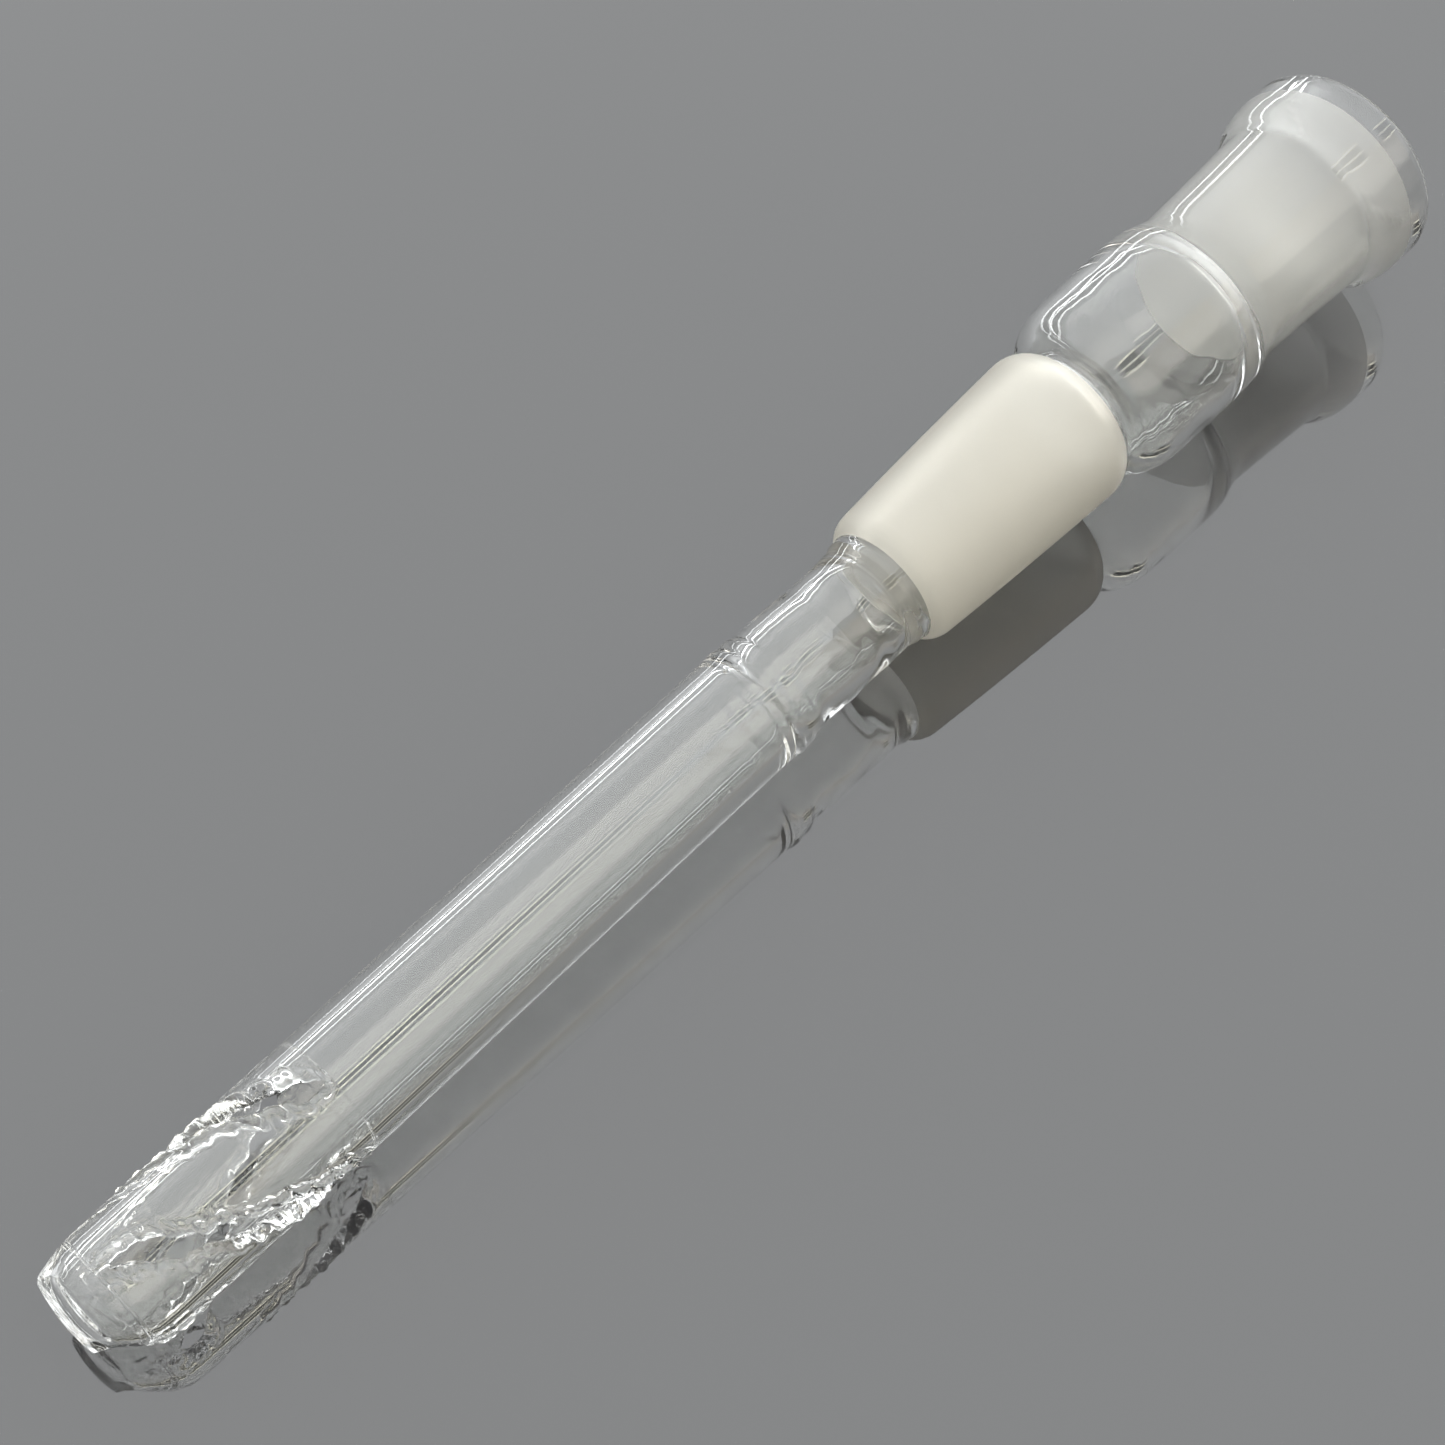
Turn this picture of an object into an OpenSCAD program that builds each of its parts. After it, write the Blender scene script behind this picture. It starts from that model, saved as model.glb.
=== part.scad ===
// Bubbler stem for laboratory glassware, in clear borosilicate glass.
// A ground socket opens into a small bulb, a ground cone hangs below it,
// and a long stem tube leaves the cone's small end through a ring seal and
// runs to a slotted diffuser whose end is pinched shut.
// The axis lies along X, from the pinched tip (-X) to the socket mouth (+X).
// The origin is on the axis, at the large end of the cone's ground taper.

/* [Ground joints] */

// diameter of the ground tapers at their large ends
joint_d = 18.8; // [14.5:0.1:24]
// length of the ground tapers along the axis
joint_len = 26; // [18:1:35]
// diameter the ground tapers lose in one unit of length
joint_taper = 0.1; // [0.05:0.01:0.15]

/* [Glass] */

// wall of the stem, the neck and the bulb
wall = 1.5; // [1.1:0.1:2]
// wall of the two ground joints
joint_wall = 1.65; // [1.3:0.05:2.2]

/* [Stem] */

// outside diameter of the stem tube
stem_d = 13.4; // [10:0.1:16]
// distance from the cone's large end to the pinched edge of the tip
stem_reach = 137; // [90:1:220]
// diameter the drawn neck loses against the stem
neck_draw = 0.6; // [0.2:0.1:2]
// length of the drawn neck below the ring seal
neck_len = 13; // [8:1:20]
// length of the splice weld between neck and stem
splice_len = 4.5; // [3:0.5:8]
// height of the glass bead that the splice weld leaves
splice_bead = 0.25; // [0.1:0.05:0.6]
// length of the ring seal between neck and cone
seal_len = 1.8; // [1:0.1:3]

/* [Diffuser] */

// diameter the flame-polished diffuser loses against the stem
diffuser_draw = 0.1; // [0.05:0.05:1]
// length over which the stem draws in to the diffuser
draw_len = 0.8; // [0.6:0.1:2]
// length of the tube section that carries the saw slots
diffuser_len = 27; // [26:1:40]
// width of each saw slot
slot_w = 1.5; // [0.8:0.1:2]
// angle between each slot and the axis of the tube
slot_slant = 29; // [26:1:45]
// share of the tube radius that the blade leaves uncut
slot_floor = 0.39; // [0.3:0.01:0.6]
// number of slots around the tube
slot_count = 3; // [2:1:3]
// turn of the first slot around the axis, from +Y towards +Z
slot_turn = 35; // [0:5:115]

/* [Pinched tip] */

// length of the closed end, from the diffuser to the pinched edge
tip_len = 5; // [4.5:0.5:8]
// width of the pinched edge
pinch_w = 8.3; // [6:0.1:10]
// thickness of the pinched edge
pinch_t = 1.8; // [1.2:0.1:3]
// roll of the pinched edge around the axis
pinch_roll = 17; // [0:1:45]
// sideways shift of the pinched edge from the axis
pinch_shift = 1.2; // [0:0.1:1.6]

/* [Head] */

// length of the rounded base at the cone's small end
base_len = 1.6; // [1.2:0.1:3]
// length of the rounded shoulder from the cone to the waist
shoulder_len = 2.9; // [2.4:0.1:5]
// outside diameter of the waist between cone and bulb
waist_d = 14.8; // [12:0.1:17]
// length of the bulb, from the waist to the socket's inner end
bulb_len = 19.9; // [16:0.1:30]
// outside diameter of the bulb
bulb_d = 22.1; // [20:0.1:28]
// length of the socket barrel, from the bulb to the rolled rim
barrel_len = 18.2; // [12:0.1:22]
// depth of the flare between the ground bore and the socket mouth
mouth_len = 1.8; // [1.4:0.1:4]
// outside diameter of the rolled rim
rim_d = 24.8; // [23:0.1:32]

/* [Hidden] */

facets = 96;
steps = 7;
eps = 0.5;

// ground tapers
joint_r = joint_d / 2;
small_r = joint_r - joint_taper * joint_len / 2;
cone_x = -joint_len;
base_x = cone_x - base_len;
cone_bore_small = small_r - joint_wall;
cone_bore_large = joint_r - joint_wall;

// stem and neck
stem_r = stem_d / 2;
stem_bore = stem_r - wall;
neck_r = min(stem_r - neck_draw / 2, small_r - 1.4);
neck_bore = neck_r - wall;
seal_r = neck_r + 0.2;
seal_x = base_x - seal_len;
neck_x = seal_x - neck_len;
splice_x = neck_x - splice_len;
tip_x = -stem_reach;
diffuser_x = tip_x + tip_len;
diffuser_r = stem_r - diffuser_draw / 2;
stem_x = diffuser_x + diffuser_len;

// head
waist_x = shoulder_len;
waist_r = min(waist_d / 2, joint_r - 0.9);
waist_bore = waist_r - wall;
socket_x = waist_x + bulb_len;
barrel_r = small_r + joint_wall;
bulb_r = max(bulb_d / 2, barrel_r + 0.7);
bulb_bore = bulb_r - wall;
rim_x = socket_x + barrel_len;
ground_end_x = socket_x + joint_len;
mouth_x = max(ground_end_x, rim_x + 6) + mouth_len;
barrel_end_r = barrel_r + joint_taper * barrel_len / 2 - 0.05;
rim_r = max(rim_d / 2, barrel_end_r + 1.2);
turn_x0 = socket_x - 2.6;
turn_x1 = socket_x + 2.9;

// node to draw, or all of them

// radius of the ground bore of the socket at a station on the axis
function ground_r(x) = small_r + joint_taper * (x - socket_x) / 2;

// soft step from 0 to 1
function ease(t) = (1 - cos(180 * t)) / 2;

// outside of the glass where the bulb turns in to the socket barrel
function turn_r(x) = bulb_r + (barrel_r - bulb_r) * ease((x - turn_x0) / (turn_x1 - turn_x0));

// quarter of an ellipse from [r0, x0] to [r1, x1], leaving along the radius
function swell(r0, x0, r1, x1, n = steps) =
    [for (i = [0:n]) [r0 + (r1 - r0) * sin(90 * i / n), x0 + (x1 - x0) * (1 - cos(90 * i / n))]];

// quarter of an ellipse from [r0, x0] to [r1, x1], leaving along the axis
function tuck(r0, x0, r1, x1, n = steps) =
    [for (i = [0:n]) [r0 + (r1 - r0) * (1 - cos(90 * i / n)), x0 + (x1 - x0) * sin(90 * i / n)]];

// the same points in the other order
function back(p) = [for (i = [len(p) - 1:-1:0]) p[i]];

// a profile of [radius, station] points turned around the X axis
module turned(p) {
    rotate([0, 90, 0])
        rotate_extrude($fn = facets)
            polygon(p);
}

// straight tube between two stations
module tube(x0, x1, r, bore) {
    turned([[bore, x0], [r, x0], [r, x1], [bore, x1]]);
}

// rolled bead around the socket mouth, with the last of the ground bore
module socket_rim() {
    bead_x0 = rim_x + 3.6;
    bead_x1 = mouth_x - 2.6;
    nose_r = rim_r - 1.5;
    lip_bore = ground_r(ground_end_x) + 0.8;
    color([0.86, 0.9, 0.9, 0.6])
        turned(concat(
            [[ground_r(rim_x), rim_x], [barrel_end_r, rim_x]],
            [for (i = [1:steps])
                [barrel_end_r + (rim_r - barrel_end_r) * ease(i / steps),
                 rim_x + (bead_x0 - rim_x) * i / steps]],
            tuck(rim_r, bead_x1, nose_r, mouth_x),
            [for (i = [1:4])
                [nose_r + (lip_bore - nose_r) * sin(90 * i / 4),
                 mouth_x - 1.2 * (1 - cos(90 * i / 4))]],
            [[ground_r(ground_end_x), ground_end_x]]
        ));
}

// barrel of the socket, ground inside
module ground_socket() {
    color([0.9, 0.92, 0.92, 0.7])
        turned(concat(
            [[ground_r(socket_x), socket_x]],
            [for (i = [0:3])
                [turn_r(socket_x + (turn_x1 - socket_x) * i / 3),
                 socket_x + (turn_x1 - socket_x) * i / 3]],
            [[barrel_end_r, rim_x], [ground_r(rim_x), rim_x]]
        ));
}

// round bulb between the waist and the socket
module bulb() {
    full_x = waist_x + 5.6;
    flat_x = turn_x0;
    color([0.86, 0.9, 0.9, 0.5])
        turned(concat(
            swell(waist_r, waist_x, bulb_r, full_x),
            [for (i = [0:3])
                [turn_r(flat_x + (socket_x - flat_x) * i / 3),
                 flat_x + (socket_x - flat_x) * i / 3]],
            back(tuck(bulb_bore, flat_x - 0.6, small_r, socket_x)),
            back(swell(waist_bore, waist_x, bulb_bore, full_x + 0.4))
        ));
}

// ground cone with its rounded base and rounded shoulder
module ground_cone() {
    color([0.95, 0.94, 0.9, 0.85])
        turned(concat(
            [[neck_bore, base_x]],
            [[seal_r, base_x]],
            swell(small_r - 1, base_x + 0.2, small_r, cone_x),
            tuck(joint_r, 0, waist_r, waist_x),
            [[waist_bore, waist_x], [cone_bore_large, -0.6]],
            [[cone_bore_small, cone_x + 1.2]],
            [[cone_bore_small - 0.5, cone_x + 0.2]],
            [[neck_bore, base_x + 1.5]]
        ));
}

// small ring of welded glass between neck and cone
module ring_seal() {
    color([0.86, 0.9, 0.9, 0.5])
        turned([
            [neck_bore, seal_x],
            [neck_r, seal_x],
            [neck_r + 0.02, seal_x + seal_len * 0.5],
            [seal_r, base_x],
            [neck_bore, base_x]
        ]);
}

// drawn neck, a little slimmer than the stem
module neck() {
    color([0.86, 0.9, 0.9, 0.5])
        tube(neck_x, seal_x, neck_r, neck_bore);
}

// beaded weld that joins the drawn neck to the stem tube
module splice_weld() {
    color([0.86, 0.9, 0.9, 0.5])
        turned([
            [stem_bore, splice_x],
            [stem_r, splice_x],
            [stem_r + splice_bead, splice_x + splice_len * 0.2],
            [stem_r, splice_x + splice_len * 0.45],
            [stem_r + splice_bead * 0.6, splice_x + splice_len * 0.7],
            [neck_r, neck_x],
            [neck_bore, neck_x],
            [min(stem_bore, neck_bore) - splice_bead, splice_x + splice_len * 0.5]
        ]);
}

// long plain stem tube
module stem_tube() {
    color([0.86, 0.9, 0.9, 0.5])
        tube(stem_x, splice_x, stem_r, stem_bore);
}

// one slanted saw slot, cut from the +Z side of a tube centred on the origin
module slot() {
    rotate([0, 0, -slot_slant])
        translate([-2 * diffuser_len, -slot_w / 2, slot_floor * stem_r])
            cube([4 * diffuser_len, slot_w, stem_r * 2]);
}

// slotted end section of the tube
module diffuser() {
    mid_x = diffuser_x + diffuser_len / 2;
    color([0.86, 0.9, 0.9, 0.5])
        difference() {
            turned([
                [stem_bore, diffuser_x],
                [diffuser_r, diffuser_x],
                [diffuser_r, stem_x - draw_len],
                [stem_r, stem_x],
                [stem_bore, stem_x]
            ]);
            for (i = [0:slot_count - 1])
                translate([mid_x, 0, 0])
                    rotate([slot_turn + 360 * i / slot_count - 90, 0, 0])
                        slot();
        }
}

// half of a pinch outline, from full width w0 at the tube to half width w1
function pinch(w0, w1, x0, x1, n = 6) =
    [for (i = [0:n]) [x0 + (x1 - x0) * sin(90 * i / n), w0 + (w1 - w0) * (1 - cos(90 * i / n))]];

// outline of a pinched end, closed across the tube side
module pinch_shape(r, w, shift, x0, x1) {
    side = pinch(r + 0.01, w / 2 + shift, x0, x1);
    other = pinch(r + 0.01, w / 2 - shift, x0, x1);
    polygon(concat(
        [[diffuser_x + eps, -r - 0.01], [diffuser_x + eps, r + 0.01]],
        side,
        [for (i = [len(other) - 1:-1:0]) [other[i][0], -other[i][1]]]
    ));
}

// closed solid of a pinched tube end
module pinched(r, w, t, x0, x1, end_x) {
    intersection() {
        translate([x1, 0, 0])
            rotate([0, 90, 0])
                cylinder(h = end_x - x1, r = r, $fn = facets);
        translate([0, 0, -r - 1])
            linear_extrude(2 * r + 2)
                pinch_shape(r, w, pinch_shift, x0, x1);
        rotate([90, 0, 0])
            translate([0, 0, -r - 1])
                linear_extrude(2 * r + 2)
                    pinch_shape(r, t, 0, x0, x1);
    }
}

// end of the tube, pinched to a straight edge and sealed
module pinched_tip() {
    inner_end = tip_x + 1.6;
    color([0.86, 0.9, 0.9, 0.5])
        rotate([pinch_roll, 0, 0])
            difference() {
                pinched(diffuser_r, pinch_w, pinch_t, diffuser_x - 0.6, tip_x, diffuser_x);
                pinched(stem_bore, pinch_w - 2 * wall, 0.8, diffuser_x, inner_end, diffuser_x + eps);
            }
}

socket_rim();
ground_socket();
bulb();
ground_cone();
ring_seal();
neck();
splice_weld();
stem_tube();
diffuser();
pinched_tip();
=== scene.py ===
import bmesh
import bpy
import math
import numpy as np
from mathutils import Matrix, Vector


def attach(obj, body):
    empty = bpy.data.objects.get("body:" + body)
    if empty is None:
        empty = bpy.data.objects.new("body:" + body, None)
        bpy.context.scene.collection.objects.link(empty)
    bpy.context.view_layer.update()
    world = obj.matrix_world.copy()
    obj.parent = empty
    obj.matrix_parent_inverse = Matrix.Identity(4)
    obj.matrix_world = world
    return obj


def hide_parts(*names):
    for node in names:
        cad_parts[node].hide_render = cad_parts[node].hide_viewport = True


MM = 0.001
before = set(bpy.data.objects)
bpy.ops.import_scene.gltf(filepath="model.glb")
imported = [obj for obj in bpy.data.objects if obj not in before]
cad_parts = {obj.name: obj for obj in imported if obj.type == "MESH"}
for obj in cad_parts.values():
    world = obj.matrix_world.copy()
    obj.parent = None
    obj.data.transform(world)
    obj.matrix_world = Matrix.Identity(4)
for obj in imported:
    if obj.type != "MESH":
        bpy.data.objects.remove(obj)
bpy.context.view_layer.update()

# Stations along the axis, in millimetres from the large end of the cone's ground taper.
TIP = -137.0
DIFFUSER_FROM = -132.0
STEM_FROM = -105.0
WELD_FROM = -46.9
NECK_FROM = -42.4
SEAL_FROM = -29.4
CONE_FROM = -27.6
WAIST = 2.9
SOCKET_FROM = 22.8
RIM_FROM = 41.0

STEM_R = 6.7
STEM_BORE = 5.2

# outside of the glass from the stem to the rolled rim: station, radius
OUTSIDE = [
    (-150, 6.7), (-60, 6.7), (-48.4, 6.7), (-47.6, 6.74), (-46.6, 6.93), (-45.6, 6.74), (-44.7, 6.84),
    (-43.7, 6.55), (-42.6, 6.4), (-39, 6.44), (-35.5, 6.34), (-32, 6.4), (-29.8, 6.42),
    (-29.1, 6.56), (-28.5, 6.76),
    (-28.0, 6.7), (-27.6, 6.78), (-27.2, 7.15), (-26.7, 7.6), (-26.1, 7.92), (-25.4, 8.1), (-24.5, 8.17),
    (-1.0, 9.35), (-0.4, 9.37), (0.3, 9.3), (1.0, 9.08), (1.6, 8.72), (2.1, 8.25), (2.45, 7.8), (2.7, 7.52),
    (2.9, 7.42), (3.25, 7.65), (3.7, 8.45), (4.3, 9.4), (5.0, 10.0), (5.9, 10.47), (7.2, 10.8),
    (8.7, 10.96), (12, 11.03), (18.8, 11.05), (20.6, 11.0),
    (21.8, 10.85), (22.8, 10.55), (24, 10.2), (25.2, 10.0),
    (26.4, 9.95), (28, 10.0), (40.2, 10.58), (40.7, 10.62), (41.1, 10.85), (41.7, 11.35), (42.4, 11.78),
    (43.4, 12.12), (44.6, 12.32), (46.5, 12.4), (48.5, 12.38),
]
# inside of the glass over the same stretch
INSIDE = [
    (-150, 5.2), (-60, 5.2), (-48.8, 5.2), (-47.4, 5.05), (-46.2, 4.74), (-45.2, 4.66), (-44.2, 4.78),
    (-42.8, 4.92), (-38, 4.96), (-33, 4.88), (-30.2, 4.84), (-28.9, 4.66), (-28.1, 4.6), (-27.3, 4.82),
    (-26.5, 5.35), (-25.6, 5.95), (-24.6, 6.4), (-23, 6.55), (-1, 7.68), (0.4, 7.6), (1.4, 7.1), (2.2, 6.3),
    (2.8, 5.7), (3.4, 5.45), (4.0, 5.8), (4.7, 7.0), (5.5, 8.1), (6.6, 8.9), (8.2, 9.35), (10.5, 9.5),
    (17.6, 9.55), (19.4, 9.42), (20.8, 9.05), (21.9, 8.55), (22.6, 8.16), (22.8, 8.1),
]
# nose of the rolled rim, from the outside round to the ground bore
RIM_NOSE = [
    (49.2, 12.2), (49.8, 11.8), (50.25, 11.25), (50.45, 10.75), (50.45, 10.3), (50.3, 9.98), (50.0, 9.76),
    (49.6, 9.6), (49.2, 9.49), (48.8, 9.4),
]

AROUND = 168
TURN = np.linspace(0.0, 2.0 * math.pi, AROUND, endpoint=False)


def through(table):
    """A smooth line through (station, radius) points that never overshoots them."""
    x = np.array([p[0] for p in table], float)
    y = np.array([p[1] for p in table], float)
    h = np.diff(x)
    d = np.diff(y) / h
    m = np.zeros_like(y)
    m[0], m[-1] = d[0], d[-1]
    for i in range(1, len(x) - 1):
        if d[i - 1] * d[i] > 0:
            w1 = 2 * h[i] + h[i - 1]
            w2 = h[i] + 2 * h[i - 1]
            m[i] = (w1 + w2) / (w1 / d[i - 1] + w2 / d[i])

    def line(s):
        s = np.asarray(s, float)
        i = np.clip(np.searchsorted(x, s) - 1, 0, len(h) - 1)
        t = (s - x[i]) / h[i]
        a = (1 + 2 * t) * (1 - t) ** 2
        b = t * (1 - t) ** 2
        c = t * t * (3 - 2 * t)
        e = t * t * (t - 1)
        return a * y[i] + b * h[i] * m[i] + c * y[i + 1] + e * h[i] * m[i + 1]

    return line


outside_line = through(OUTSIDE)
inside_line = through(INSIDE)


def bump_between(x, lo, hi, soft):
    """1 between two stations, fading to 0 over a soft distance."""
    a = np.clip((x - lo) / soft + 0.5, 0, 1)
    b = np.clip((hi - x) / soft + 0.5, 0, 1)
    a = a * a * (3 - 2 * a)
    b = b * b * (3 - 2 * b)
    return a * b


def hand_wave(x, turn, seed):
    """Slow unevenness left in flame-worked glass, about -1 to 1."""
    p = seed * 1.7
    return (0.5 * np.sin(0.5 * x + 1.3 * np.sin(turn + p) + p)
            + 0.32 * np.sin(0.93 * x - turn + 2.1 * p)
            + 0.14 * np.sin(1.5 * x + 2 * turn + 0.7 * p)
            + 0.04 * np.sin(2.3 * x - turn + 3.3 * p))


def unevenness(x, turn, seed):
    """How far a worked wall wanders from its true radius, in millimetres."""
    stem = 0.002 * bump_between(x, -150, -49, 4)
    weld = 0.13 * bump_between(x, -47.8, -43.4, 1.6)
    neck = 0.12 * bump_between(x, -44, -30.5, 3)
    seal = 0.05 * bump_between(x, -30.5, -27.6, 1)
    bulb = 0.035 * bump_between(x, 6, 20, 4)
    waist = 0.05 * bump_between(x, 2.6, 5, 1)
    return (stem + weld + neck + seal + bulb + waist) * hand_wave(x, turn, seed)


def outer_radius(x, turn):
    return outside_line(x) + unevenness(x, turn, 1.0)


def inner_radius(x, turn):
    extra = 0.1 * bump_between(x, -48, -28, 3) + 0.25 * bump_between(x, 2.4, 5.4, 1.2)
    return inside_line(x) + (1.0 * unevenness(x, turn, 2.3) + extra * hand_wave(x * 1.3, turn, 4.4))


def spaced(lo, hi, step):
    n = max(2, int(round((hi - lo) / step)) + 1)
    return np.linspace(lo, hi, n)


def make_mesh(name, verts, faces, slots, smooth, mats):
    mesh = bpy.data.meshes.new(name)
    mesh.from_pydata([tuple(v) for v in verts], [], faces)
    for m in mats:
        mesh.materials.append(m)
    mesh.polygons.foreach_set("material_index", slots)
    mesh.polygons.foreach_set("use_smooth", smooth)
    mesh.update()
    obj = bpy.data.objects.new(name, mesh)
    bpy.context.scene.collection.objects.link(obj)
    return obj


def wall_normals(radius, x, inward):
    """True directions of a wall around one station, so that fused pieces shade as one."""
    xs = np.full(AROUND, float(x))
    r = radius(xs, TURN)
    along = (radius(xs + 0.02, TURN) - radius(xs - 0.02, TURN)) / 0.04
    round_ = (radius(xs, TURN + 0.004) - radius(xs, TURN - 0.004)) / 0.008 / r
    n = np.stack([-along, np.cos(TURN) + round_ * np.sin(TURN), np.sin(TURN) - round_ * np.cos(TURN)], 1)
    n /= np.linalg.norm(n, axis=1)[:, None]
    return -n if inward else n


def turn_outwards(obj):
    """Turn every face outwards, so that glass knows its inside from its outside."""
    bm = bmesh.new()
    bm.from_mesh(obj.data)
    bmesh.ops.recalc_face_normals(bm, faces=bm.faces)
    bm.to_mesh(obj.data)
    bm.free()


def turned_piece(name, loop, mats):
    """A closed ring of glass from a loop of (station, radius function, surface) points."""
    n = len(loop)
    grid = np.zeros((n, AROUND, 3))
    normals = np.zeros((n, AROUND, 3))
    for i, (x, radius, surface) in enumerate(loop):
        r = radius(np.full(AROUND, float(x)), TURN) if callable(radius) else np.full(AROUND, float(radius))
        grid[i, :, 0] = x
        grid[i, :, 1] = r * np.cos(TURN)
        grid[i, :, 2] = r * np.sin(TURN)
        if callable(radius):
            normals[i] = wall_normals(radius, x, radius is not outer_radius)
    for i, (x, radius, surface) in enumerate(loop):
        if not callable(radius):
            (xa, ra), (xb, rb) = [(loop[k][0], loop[k][1] if not callable(loop[k][1]) else float(
                np.mean(loop[k][1](np.full(AROUND, float(loop[k][0])), TURN)))) for k in (i - 1, (i + 1) % n)]
            nx, nr = ra - rb, xb - xa
            size = math.hypot(nx, nr)
            normals[i, :, 0] = nx / size
            normals[i, :, 1] = nr / size * np.cos(TURN)
            normals[i, :, 2] = nr / size * np.sin(TURN)
    faces = []
    slots = []
    smooth = []
    for i in range(n):
        k = (i + 1) % n
        surface = loop[i][2]
        for j in range(AROUND):
            l = (j + 1) % AROUND
            faces.append((i * AROUND + j, k * AROUND + j, k * AROUND + l, i * AROUND + l))
            slots.append(surface)
            smooth.append(surface != SEAM)
    obj = make_mesh(name, grid.reshape(-1, 3) * MM, faces, slots, smooth, mats)
    turn_outwards(obj)
    obj.data.normals_split_custom_set_from_vertices([tuple(v) for v in normals.reshape(-1, 3)])
    return obj


CLEAR, GROUND, SEAM = 0, 1, 2


def wall_loop(lo, hi, step, outer_surface=CLEAR, inner_surface=CLEAR):
    """Outside stations from lo to hi, then inside stations back, with a seam face at each end."""
    xs = spaced(lo, hi, step)
    loop = [(x, outer_radius, outer_surface) for x in xs]
    loop[-1] = (xs[-1], outer_radius, SEAM)
    loop += [(x, inner_radius, inner_surface) for x in xs[::-1]]
    loop[-1] = (xs[0], inner_radius, SEAM)
    return loop


# ---------------------------------------------------------------- materials

def node_group(name, inputs, outputs):
    g = bpy.data.node_groups.new(name, "ShaderNodeTree")
    for n, kind, value in inputs:
        s = g.interface.new_socket(n, in_out="INPUT", socket_type=kind)
        if value is not None:
            s.default_value = value
    for n, kind in outputs:
        g.interface.new_socket(n, in_out="OUTPUT", socket_type=kind)
    return g, g.nodes.new("NodeGroupInput"), g.nodes.new("NodeGroupOutput")


def flame_ripple_group():
    """Very low ripples that drawing and flame work leave in clear glass."""
    g, gi, go = node_group(
        "flame_ripple",
        [("Along", "NodeSocketFloat", 60.0), ("Across", "NodeSocketFloat", 300.0),
         ("Strength", "NodeSocketFloat", 1.0)],
        [("Height", "NodeSocketFloat")])
    geo = g.nodes.new("ShaderNodeTexCoord")
    sep = g.nodes.new("ShaderNodeSeparateXYZ")
    com = g.nodes.new("ShaderNodeCombineXYZ")
    noise = g.nodes.new("ShaderNodeTexNoise")
    noise.inputs["Scale"].default_value = 1.0
    noise.inputs["Detail"].default_value = 1.5
    g.links.new(geo.outputs["Object"], sep.inputs[0])
    for axis, amount in (("X", "Along"), ("Y", "Across"), ("Z", "Across")):
        mul = g.nodes.new("ShaderNodeMath")
        mul.operation = "MULTIPLY"
        g.links.new(sep.outputs[axis], mul.inputs[0])
        g.links.new(gi.outputs[amount], mul.inputs[1])
        g.links.new(mul.outputs[0], com.inputs[axis])
    g.links.new(com.outputs[0], noise.inputs["Vector"])
    out = g.nodes.new("ShaderNodeMath")
    out.operation = "MULTIPLY"
    g.links.new(noise.outputs["Fac"], out.inputs[0])
    g.links.new(gi.outputs["Strength"], out.inputs[1])
    g.links.new(out.outputs[0], go.inputs["Height"])
    return g


def ground_grain_group():
    """Fine abrasive grain with slightly cloudier patches, for the ground joints."""
    g, gi, go = node_group(
        "ground_grain",
        [("Grain", "NodeSocketFloat", 9000.0), ("Patches", "NodeSocketFloat", 90.0),
         ("Light", "NodeSocketColor", (0.95, 0.94, 0.9, 1)),
         ("Dull", "NodeSocketColor", (0.9, 0.89, 0.84, 1))],
        [("Color", "NodeSocketColor"), ("Height", "NodeSocketFloat")])
    geo = g.nodes.new("ShaderNodeTexCoord")
    fine = g.nodes.new("ShaderNodeTexNoise")
    fine.inputs["Detail"].default_value = 2.0
    broad = g.nodes.new("ShaderNodeTexNoise")
    broad.inputs["Detail"].default_value = 3.0
    mix = g.nodes.new("ShaderNodeMix")
    mix.data_type = "RGBA"
    g.links.new(geo.outputs["Object"], fine.inputs["Vector"])
    g.links.new(geo.outputs["Object"], broad.inputs["Vector"])
    g.links.new(gi.outputs["Grain"], fine.inputs["Scale"])
    g.links.new(gi.outputs["Patches"], broad.inputs["Scale"])
    g.links.new(broad.outputs["Fac"], mix.inputs["Factor"])
    g.links.new(gi.outputs["Light"], mix.inputs["A"])
    g.links.new(gi.outputs["Dull"], mix.inputs["B"])
    g.links.new(mix.outputs["Result"], go.inputs["Color"])
    g.links.new(fine.outputs["Fac"], go.inputs["Height"])
    return g


RIPPLE = flame_ripple_group()
GRAIN = ground_grain_group()


def new_material(name):
    mat = bpy.data.materials.new(name)
    mat.use_nodes = True
    nodes = mat.node_tree.nodes
    return mat, nodes, mat.node_tree.links, nodes["Principled BSDF"]


def clear_glass(name, tint, along, across, strength, distance):
    mat, nodes, links, bsdf = new_material(name)
    bsdf.inputs["Base Color"].default_value = (*tint, 1)
    bsdf.inputs["Roughness"].default_value = 0.0
    bsdf.inputs["IOR"].default_value = 1.474
    bsdf.inputs["Transmission Weight"].default_value = 1.0
    ripple = nodes.new("ShaderNodeGroup")
    ripple.node_tree = RIPPLE
    ripple.inputs["Along"].default_value = along
    ripple.inputs["Across"].default_value = across
    ripple.inputs["Strength"].default_value = strength
    bump = nodes.new("ShaderNodeBump")
    bump.inputs["Strength"].default_value = 1.0
    bump.inputs["Distance"].default_value = distance
    links.new(ripple.outputs["Height"], bump.inputs["Height"])
    links.new(bump.outputs["Normal"], bsdf.inputs["Normal"])
    return mat


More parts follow.
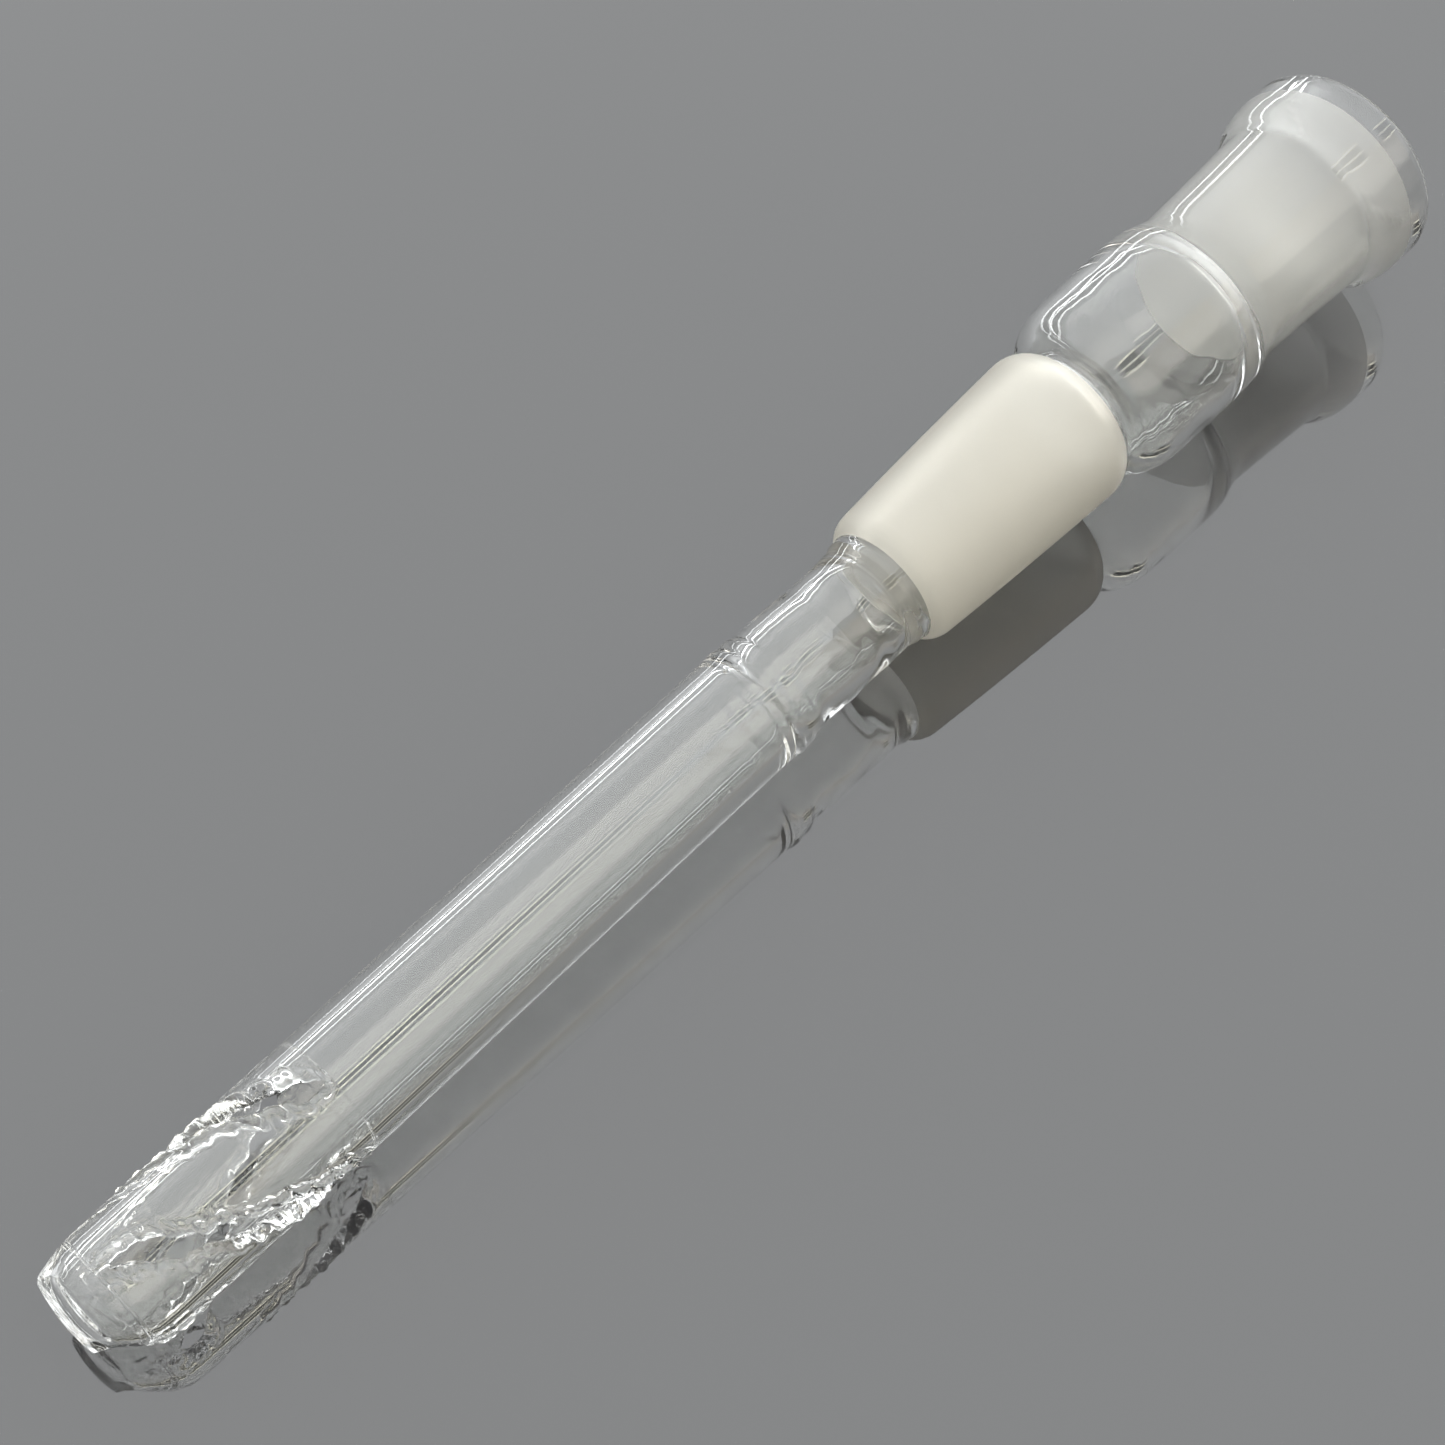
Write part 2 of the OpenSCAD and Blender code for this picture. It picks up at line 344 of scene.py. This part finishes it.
def ground_glass(name, light, dull, transmission, roughness):
    mat, nodes, links, bsdf = new_material(name)
    bsdf.inputs["Roughness"].default_value = roughness
    bsdf.inputs["IOR"].default_value = 1.474
    bsdf.inputs["Transmission Weight"].default_value = transmission
    grain = nodes.new("ShaderNodeGroup")
    grain.node_tree = GRAIN
    grain.inputs["Light"].default_value = (*light, 1)
    grain.inputs["Dull"].default_value = (*dull, 1)
    bump = nodes.new("ShaderNodeBump")
    bump.inputs["Strength"].default_value = 0.35
    bump.inputs["Distance"].default_value = 0.00003
    links.new(grain.outputs["Color"], bsdf.inputs["Base Color"])
    links.new(grain.outputs["Height"], bump.inputs["Height"])
    links.new(bump.outputs["Normal"], bsdf.inputs["Normal"])
    return mat


drawn_glass = clear_glass("drawn_glass", (0.985, 0.992, 0.982), 12, 60, 1.0, 0.000002)
worked_glass = clear_glass("flame_worked_glass", (0.985, 0.99, 0.976), 90, 90, 1.0, 0.00001)
cone_frost = ground_glass("ground_cone_frost", (0.85, 0.815, 0.725), (0.82, 0.785, 0.695), 0.72, 0.55)
socket_frost = ground_glass("ground_socket_frost", (0.84, 0.83, 0.79), (0.81, 0.8, 0.76), 0.76, 0.5)

seam_clear, _n, _l, _b = new_material("fused_seam")
_b.inputs["Alpha"].default_value = 0.0
_b.inputs["Roughness"].default_value = 1.0

# ------------------------------------------------------------------- pieces

pieces = []


def finish_piece(obj, node):
    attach(obj, "root")
    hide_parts(node)
    pieces.append(obj)


stem = turned_piece(
    "stem_tube_glass", wall_loop(STEM_FROM, WELD_FROM, 0.5), [drawn_glass, cone_frost, seam_clear])
finish_piece(stem, "stem_tube")

weld = turned_piece(
    "splice_weld_glass", wall_loop(WELD_FROM, NECK_FROM, 0.15), [worked_glass, cone_frost, seam_clear])
finish_piece(weld, "splice_weld")

neck = turned_piece(
    "neck_glass", wall_loop(NECK_FROM, SEAL_FROM, 0.25), [worked_glass, cone_frost, seam_clear])
finish_piece(neck, "neck")

seal = turned_piece(
    "ring_seal_glass", wall_loop(SEAL_FROM, CONE_FROM, 0.12), [worked_glass, cone_frost, seam_clear])
finish_piece(seal, "ring_seal")


def cone_loop():
    xs = np.concatenate([spaced(CONE_FROM, -25, 0.12), spaced(-25, -0.5, 0.5)[1:],
                         spaced(-0.5, WAIST, 0.1)[1:]])
    loop = [(x, outer_radius, GROUND if -27.5 < x < 1.9 else CLEAR) for x in xs]
    loop[-1] = (xs[-1], outer_radius, SEAM)
    loop += [(x, inner_radius, CLEAR) for x in xs[::-1]]
    loop[-1] = (xs[0], inner_radius, SEAM)
    return loop


cone = turned_piece("ground_cone_glass", cone_loop(), [worked_glass, cone_frost, seam_clear])
finish_piece(cone, "ground_cone")


def bulb_loop():
    xs = np.concatenate([spaced(WAIST, 9, 0.12), spaced(9, 19, 0.4)[1:], spaced(19, SOCKET_FROM, 0.12)[1:]])
    loop = [(x, outer_radius, CLEAR) for x in xs]
    loop[-1] = (xs[-1], outer_radius, SEAM)
    loop += [(x, inner_radius, CLEAR) for x in xs[::-1]]
    loop[-1] = (xs[0], inner_radius, SEAM)
    return loop


bulb = turned_piece("bulb_glass", bulb_loop(), [worked_glass, cone_frost, seam_clear])
finish_piece(bulb, "bulb")


def socket_bore(x, turn):
    return 8.1 + 0.05 * (x - SOCKET_FROM)


def socket_loop():
    xs = np.concatenate([spaced(SOCKET_FROM, 27, 0.15), spaced(27, RIM_FROM, 0.5)[1:]])
    loop = [(x, outer_radius, CLEAR) for x in xs]
    loop[-1] = (xs[-1], outer_radius, SEAM)
    loop += [(x, socket_bore, GROUND) for x in xs[::-1]]
    loop[-1] = (xs[0], socket_bore, SEAM)
    return loop


socket = turned_piece("ground_socket_glass", socket_loop(), [drawn_glass, socket_frost, seam_clear])
finish_piece(socket, "ground_socket")


def rim_loop():
    xs = spaced(RIM_FROM, 48.5, 0.2)
    loop = [(x, outer_radius, CLEAR) for x in xs]
    nose = [(48.5, 12.38)] + RIM_NOSE
    t = np.linspace(0, 1, len(nose))
    nx = np.interp(np.linspace(0, 1, 49), t, [p[0] for p in nose])
    nr = np.interp(np.linspace(0, 1, 49), t, [p[1] for p in nose])
    for _ in range(6):
        nx[1:-1] = (nx[:-2] + 2 * nx[1:-1] + nx[2:]) / 4
        nr[1:-1] = (nr[:-2] + 2 * nr[1:-1] + nr[2:]) / 4
    loop += [(x, float(r), CLEAR) for x, r in zip(nx[1:], nr[1:])]
    loop[-1] = (48.8, socket_bore, CLEAR)
    loop += [(x, socket_bore, GROUND if x < 47.6 else CLEAR) for x in spaced(RIM_FROM, 48.8, 0.4)[::-1][1:]]
    loop[-1] = (RIM_FROM, socket_bore, SEAM)
    return loop


rim = turned_piece("socket_rim_glass", rim_loop(), [worked_glass, socket_frost, seam_clear])
finish_piece(rim, "socket_rim")

# --------------------------------------------------- slotted end of the tube

SLOTS = [(math.radians(35), -118.3), (math.radians(155), -118.5), (math.radians(275), -118.5)]
SLANT = math.radians(29.2)
CUT_FLOOR = 2.6
SLOT_HALF = 0.75


def edge_distance(x, turn):
    """Distance in millimetres from the nearest saw slot's edge, negative inside a slot."""
    best = np.full(np.broadcast(x, turn).shape, 99.0)
    for k, (entry, middle) in enumerate(SLOTS):
        t = STEM_R * np.sin(turn - entry)
        wobble = 0.16 * np.sin(1.9 * x + k) + 0.1 * np.sin(3.7 * x + 2.1 * k) + 0.06 * np.sin(7.3 * x)
        across = (x - middle) * math.sin(SLANT) - t * math.cos(SLANT) + 0.5 * wobble
        depth = STEM_R * np.cos(turn - entry) - CUT_FLOOR
        half = SLOT_HALF + 0.22 * np.sin(1.1 * x + 2.0 * k) + 0.12 * np.sin(2.9 * x + 1.0 + k)
        round_r = 0.6
        a = np.maximum(np.abs(across) - (half - round_r), 0)
        b = np.maximum(round_r - depth, 0)
        inside = np.minimum(np.maximum(np.abs(across) - (half - round_r), round_r - depth), 0)
        d = np.hypot(a, b) + inside - round_r
        best = np.minimum(best, d)
    return best


def end_shape(s):
    """Half widths of the pinched end at distance s from its edge: near, far, height."""
    near = np.interp(s, [0, 0.7, 1.6, 2.8, 4.4, 6.2, 8], [2.9, 3.1, 3.6, 4.5, 5.85, 6.58, STEM_R])
    far = np.interp(s, [0, 0.7, 2.4, 4, 6, 8], [5.6, 5.9, 6.2, 6.5, 6.68, STEM_R])
    high = 0.85 + (STEM_R - 0.85) * np.sin(0.5 * math.pi * np.clip((s - 0.6) / 7.0, 0, 1)) ** 0.8
    return near, far, high


def build_end():
    nx, na = 184, 288
    xs = np.linspace(DIFFUSER_FROM, STEM_FROM, nx)
    turn = np.linspace(0, 2 * math.pi, na, endpoint=False)
    X, T = np.meshgrid(xs, turn, indexing="ij")
    f = edge_distance(X, T)
    verts = []
    index = {}

    def place(x, t, d, side):
        melt = 0.9
        k = min(max(d / melt, 0.0), 1.0)
        half = 0.5 * (STEM_R - STEM_BORE)
        bead = (0.2 * math.exp(-((d - 0.75) / 0.5) ** 2)
                * (1 + 0.6 * math.sin(2.7 * x + 3 * t) + 0.4 * math.sin(6.1 * x - 2 * t)))
        h = (half + bead) * math.sqrt(max(1 - (1 - k) ** 2, 0.0))
        mid = 0.5 * (STEM_R + STEM_BORE) - 0.12 * math.exp(-(d / 0.9) ** 2)
        fade = min(max((STEM_FROM - x) / 2.0, 0.0), 1.0) * min(max((x - DIFFUSER_FROM) / 1.0, 0.0), 1.0)
        r = mid + side * h
        base = STEM_R if side > 0 else STEM_BORE
        r = base + (r - base) * fade if d > melt else r
        r = min(r, 6.95)
        y, z = squeeze(x, t, r)
        return (x * MM, y * MM, z * MM)

    def squeeze(x, t, r):
        s = x - TIP
        near, far, high = end_shape(s)
        roll = math.radians(17)
        c, q = math.cos(t - roll), math.sin(t - roll)
        wide = (far if c > 0 else near) / STEM_R
        u = r * c * wide
        v = r * q * (high / STEM_R)
        return u * math.cos(roll) - v * math.sin(roll), u * math.sin(roll) + v * math.cos(roll)

    def corner(i, j, side):
        j %= na
        key = (i, j, side)
        if key not in index:
            index[key] = len(verts)
            verts.append(place(xs[i], turn[j], f[i, j], side))
        return index[key]

    def crossing(i0, j0, i1, j1):
        key = (min((i0, j0 % na), (i1, j1 % na)), max((i0, j0 % na), (i1, j1 % na)))
        if key not in index:
            fa, fb = f[i0, j0 % na], f[i1, j1 % na]
            w = fa / (fa - fb)
            x = xs[i0] + (xs[i1] - xs[i0]) * w
            t0, t1 = turn[j0 % na], turn[j1 % na]
            if j0 != j1 and abs(t1 - t0) > 3:
                if t1 < t0:
                    t1 += 2 * math.pi
                else:
                    t0 += 2 * math.pi
            t = t0 + (t1 - t0) * w
            index[key] = len(verts)
            verts.append(place(x, t, 0.0, 1))
        return index[key]

    faces, slots, smooth = [], [], []

    def add(poly, side, surface=CLEAR):
        if side < 0:
            poly = poly[::-1]
        faces.append(tuple(poly))
        slots.append(surface)
        smooth.append(surface != SEAM)

    for i in range(nx - 1):
        for j in range(na):
            ring = [(i, j), (i + 1, j), (i + 1, j + 1), (i, j + 1)]
            vals = [f[a, b % na] for a, b in ring]
            if max(vals) <= 0:
                continue
            for side in (1, -1):
                if min(vals) > 0:
                    add([corner(a, b, side) for a, b in ring], side)
                    continue
                poly = []
                for k in range(4):
                    (a, b), (c, d) = ring[k], ring[(k + 1) % 4]
                    if vals[k] > 0:
                        poly.append(corner(a, b, side))
                    if (vals[k] > 0) != (vals[(k + 1) % 4] > 0):
                        poly.append(crossing(a, b, c, d))
                if len(poly) >= 3:
                    add(poly, side)
    for i, flip in ((0, 1), (nx - 1, -1)):
        for j in range(na):
            quad = [corner(i, j, 1), corner(i, j + 1, 1), corner(i, j + 1, -1), corner(i, j, -1)]
            if flip < 0:
                quad = quad[::-1]
            faces.append(tuple(quad))
            slots.append(SEAM)
            smooth.append(False)
    obj = make_mesh("diffuser_glass", verts, faces, slots, smooth, [worked_glass, cone_frost, seam_clear])
    turn_outwards(obj)
    finish_piece(obj, "diffuser")

    # closed and pinched end, from the diffuser seam to the straight edge
    def end_rings(levels, inner):
        rings = []
        for s, scale_w, scale_h in levels:
            near, far, high = end_shape(max(s, 0.0))
            roll = math.radians(17)
            row = []
            for t in turn:
                c, q = math.cos(t - roll), math.sin(t - roll)
                wide = far if c > 0 else near
                gap = 0.0
                if inner:
                    gap = STEM_R - STEM_BORE
                u = (wide * (1 - gap / STEM_R)) * c * scale_w
                v = (high * (1 - gap / STEM_R)) * q * scale_h
                bow = 0.022 * (wide * c) ** 2 * max(0.0, 1 - s / 3.5)
                row.append(((TIP + s + bow) * MM,
                            (u * math.cos(roll) - v * math.sin(roll)) * MM,
                            (u * math.sin(roll) + v * math.cos(roll)) * MM))
            rings.append(row)
        return rings

    full = DIFFUSER_FROM - TIP
    out_levels = [(s, 1, 1) for s in np.linspace(full, 0.9, 34)]
    for a in np.linspace(0, 0.5 * math.pi, 9)[1:]:
        out_levels.append((0.9 - 0.9 * math.sin(a), 0.93 + 0.07 * math.cos(a), 0.04 + 0.96 * math.cos(a)))
    in_levels = [(s, 1, 1) for s in np.linspace(full, 2.6, 20)]
    for a in np.linspace(0, 0.5 * math.pi, 9)[1:]:
        in_levels.append((2.6 - 1.0 * math.sin(a), 0.8 + 0.2 * math.cos(a), 0.05 + 0.95 * math.cos(a)))
    verts, faces, slots, smooth = [], [], [], []
    starts = []
    for rings, side in ((end_rings(out_levels, False), 1), (end_rings(in_levels, True), -1)):
        start = len(verts)
        starts.append(start)
        for row in rings:
            verts.extend(row)
        for i in range(len(rings) - 1):
            for j in range(na):
                k = (j + 1) % na
                quad = [start + i * na + j, start + i * na + k,
                        start + (i + 1) * na + k, start + (i + 1) * na + j]
                if side < 0:
                    quad = quad[::-1]
                faces.append(tuple(quad))
                slots.append(CLEAR)
                smooth.append(True)
        last = start + (len(rings) - 1) * na
        cap = [last + j for j in range(na)]
        if side < 0:
            cap = cap[::-1]
        faces.append(tuple(cap))
        slots.append(CLEAR)
        smooth.append(True)
    for j in range(na):
        k = (j + 1) % na
        faces.append((starts[0] + k, starts[0] + j, starts[1] + j, starts[1] + k))
        slots.append(SEAM)
        smooth.append(False)
    tip = make_mesh("pinched_tip_glass", verts, faces, slots, smooth, [worked_glass, cone_frost, seam_clear])
    turn_outwards(tip)
    finish_piece(tip, "pinched_tip")


build_end()


# ------------------------------------------------------- camera, floor, light

YAW = 0.8046
RISE = 0.0335
R_UNIT = 6.7
PITCH = 1.034
CAM_H = 38.656
FOOT = (-8.786, 12.915, 0.972)
FOCUS = 2864.0


def to_row(v, is_point):
    """From floor axes (camera's right, forward, up) to the part's axes, in metres or unit vectors."""
    x, y, z = v
    if is_point:
        x, y, z = x - FOOT[0], y - FOOT[1], z - FOOT[2]
    a = x * math.cos(YAW) + y * math.sin(YAW)
    b = -x * math.sin(YAW) + y * math.cos(YAW)
    c = z
    p = Vector((a * math.cos(RISE) + c * math.sin(RISE), b, -a * math.sin(RISE) + c * math.cos(RISE)))
    if is_point:
        p = p * R_UNIT + Vector((TIP + 1.0, 0.3, 0))
        return p * MM
    return p


eye = to_row((0, 0, CAM_H), True)
right = to_row((1, 0, 0), False)
ahead = to_row((0, math.cos(PITCH), -math.sin(PITCH)), False)
above = to_row((0, math.sin(PITCH), math.cos(PITCH)), False)
cam_data = bpy.data.cameras.new("camera")
cam_data.sensor_width = 36.0
cam_data.lens = 36.0 * FOCUS / 1445.0
cam_data.clip_start = 0.01
cam_data.clip_end = 20
cam = bpy.data.objects.new("camera", cam_data)
cam.matrix_world = Matrix((
    (right.x, above.x, -ahead.x, eye.x),
    (right.y, above.y, -ahead.y, eye.y),
    (right.z, above.z, -ahead.z, eye.z),
    (0, 0, 0, 1)))
bpy.context.scene.collection.objects.link(cam)
bpy.context.scene.camera = cam

up = to_row((0, 0, 1), False)


def floor_material():
    mat, _nodes, _links, bsdf = new_material("table_top")
    bsdf.inputs["Base Color"].default_value = (0.02, 0.02, 0.021, 1)
    bsdf.inputs["Roughness"].default_value = 0.012
    bsdf.inputs["IOR"].default_value = 1.87
    return mat


def build_floor():
    half = 6.0
    n = 8
    centre = to_row((FOOT[0], FOOT[1], 0.0), True)
    e1 = Vector((math.cos(-RISE), 0, math.sin(-RISE)))
    e2 = Vector((0, 1, 0))
    verts, faces = [], []
    for i in range(n + 1):
        for j in range(n + 1):
            p = centre + e1 * (half * (2 * i / n - 1)) + e2 * (half * (2 * j / n - 1)) - up * 0.0001
            verts.append(p)
    for i in range(n):
        for j in range(n):
            a = i * (n + 1) + j
            faces.append((a, a + n + 1, a + n + 2, a + 1))
    floor = make_mesh("table_top", verts, faces, [0] * len(faces), [False] * len(faces), [floor_material()])


build_floor()


COOL = (0.97, 0.99, 1.0)
WARM = (1.0, 0.96, 0.88)
AMBER = (1.0, 0.97, 0.8)
ROOM_LIGHT = 12.6

# light around the part's axis in degrees, 0 straight up and positive towards +Y: level, tone
ABREAST = [
    (-90, 0.045, WARM), (-70, 0.05, WARM), (-63, 0.19, WARM), (-50, 0.21, WARM), (-36, 0.18, WARM),
    (-24, 0.18, COOL), (-2, 0.18, COOL), (35, 0.18, COOL), (62, 0.2, COOL),
    (72, 0.17, COOL), (76, 0.07, COOL),
    (81.2, 0.06, COOL), (82.4, 0.95, COOL), (83.6, 0.95, COOL), (85, 0.05, COOL), (90, 0.045, COOL)]
SEAMS = [(-36.4, 0.16, WARM), (-35.6, 0.6, AMBER), (-34.4, 0.6, AMBER), (-33.8, 0.003, COOL),
         (-27.6, 0.003, COOL),
         (-27, 0.5, AMBER), (-25.8, 0.5, AMBER), (-25.2, 0.003, COOL), (-18.6, 0.003, COOL),
         (-18, 0.6, AMBER), (-16.8, 0.6, AMBER), (-16, 0.17, COOL)]
NEAR_TIP = ABREAST[:4] + SEAMS + ABREAST[6:]
ENDS = [(-90, 0.07, COOL), (-60, 0.14, COOL), (0, 0.16, COOL), (60, 0.14, COOL), (90, 0.07, COOL)]


def light_levels(nodes, stops):
    ramp = nodes.new("ShaderNodeValToRGB")
    ramp.color_ramp.interpolation = "EASE"
    while len(ramp.color_ramp.elements) < len(stops):
        ramp.color_ramp.elements.new(0.5)
    for e, (deg, _level, _tone) in zip(ramp.color_ramp.elements, stops):
        e.position = deg / 180 + 0.5
    for e, (_deg, level, tone) in zip(ramp.color_ramp.elements, stops):
        e.color = (level * tone[0], level * tone[1], level * tone[2], 1)
    return ramp


def build_room():
    """Soft surroundings: a broad overhead light with seams abreast of the part, plain at its ends."""
    world = bpy.data.worlds.new("room")
    world.use_nodes = True
    nodes, links = world.node_tree.nodes, world.node_tree.links
    back = nodes["Background"]
    coord = nodes.new("ShaderNodeTexCoord")
    sep = nodes.new("ShaderNodeSeparateXYZ")
    links.new(coord.outputs["Generated"], sep.inputs[0])
    angle = nodes.new("ShaderNodeMath")
    angle.operation = "ARCTAN2"
    links.new(sep.outputs["Y"], angle.inputs[0])
    links.new(sep.outputs["Z"], angle.inputs[1])
    share = nodes.new("ShaderNodeMath")
    share.operation = "MULTIPLY_ADD"
    share.inputs[1].default_value = 1 / math.pi
    share.inputs[2].default_value = 0.5
    links.new(angle.outputs[0], share.inputs[0])
    endwise = nodes.new("ShaderNodeMath")
    endwise.operation = "ABSOLUTE"
    links.new(sep.outputs["X"], endwise.inputs[0])
    level = light_levels(nodes, NEAR_TIP)
    links.new(share.outputs[0], level.inputs["Fac"])
    colour = level.outputs["Color"]
    for stops, along, start, stop in ((ABREAST, sep.outputs["X"], 0.18, 0.36),
                                      (ENDS, endwise.outputs[0], 0.64, 0.82)):
        level = light_levels(nodes, stops)
        links.new(share.outputs[0], level.inputs["Fac"])
        blend = nodes.new("ShaderNodeMapRange")
        blend.interpolation_type = "SMOOTHSTEP"
        blend.inputs["From Min"].default_value = start
        blend.inputs["From Max"].default_value = stop
        links.new(along, blend.inputs["Value"])
        mix = nodes.new("ShaderNodeMix")
        mix.data_type = "RGBA"
        links.new(blend.outputs["Result"], mix.inputs["Factor"])
        links.new(colour, mix.inputs[6])
        links.new(level.outputs["Color"], mix.inputs[7])
        colour = mix.outputs[2]
    links.new(colour, back.inputs["Color"])
    back.inputs["Strength"].default_value = ROOM_LIGHT
    plain = nodes.new("ShaderNodeBackground")
    plain.inputs["Color"].default_value = (0.62, 0.63, 0.64, 1)
    path = nodes.new("ShaderNodeLightPath")
    seen = nodes.new("ShaderNodeMixShader")
    links.new(path.outputs["Is Camera Ray"], seen.inputs["Fac"])
    links.new(back.outputs[0], seen.inputs[1])
    links.new(plain.outputs[0], seen.inputs[2])
    links.new(seen.outputs[0], nodes["World Output"].inputs["Surface"])
    bpy.context.scene.world = world


build_room()

scene = bpy.context.scene
scene.view_settings.view_transform = "Standard"
scene.cycles.max_bounces = 32
scene.cycles.sample_clamp_indirect = 8.0
scene.cycles.transmission_bounces = 32
scene.cycles.glossy_bounces = 12
scene.cycles.transparent_max_bounces = 48
scene.cycles.caustics_refractive = True
scene.cycles.caustics_reflective = False
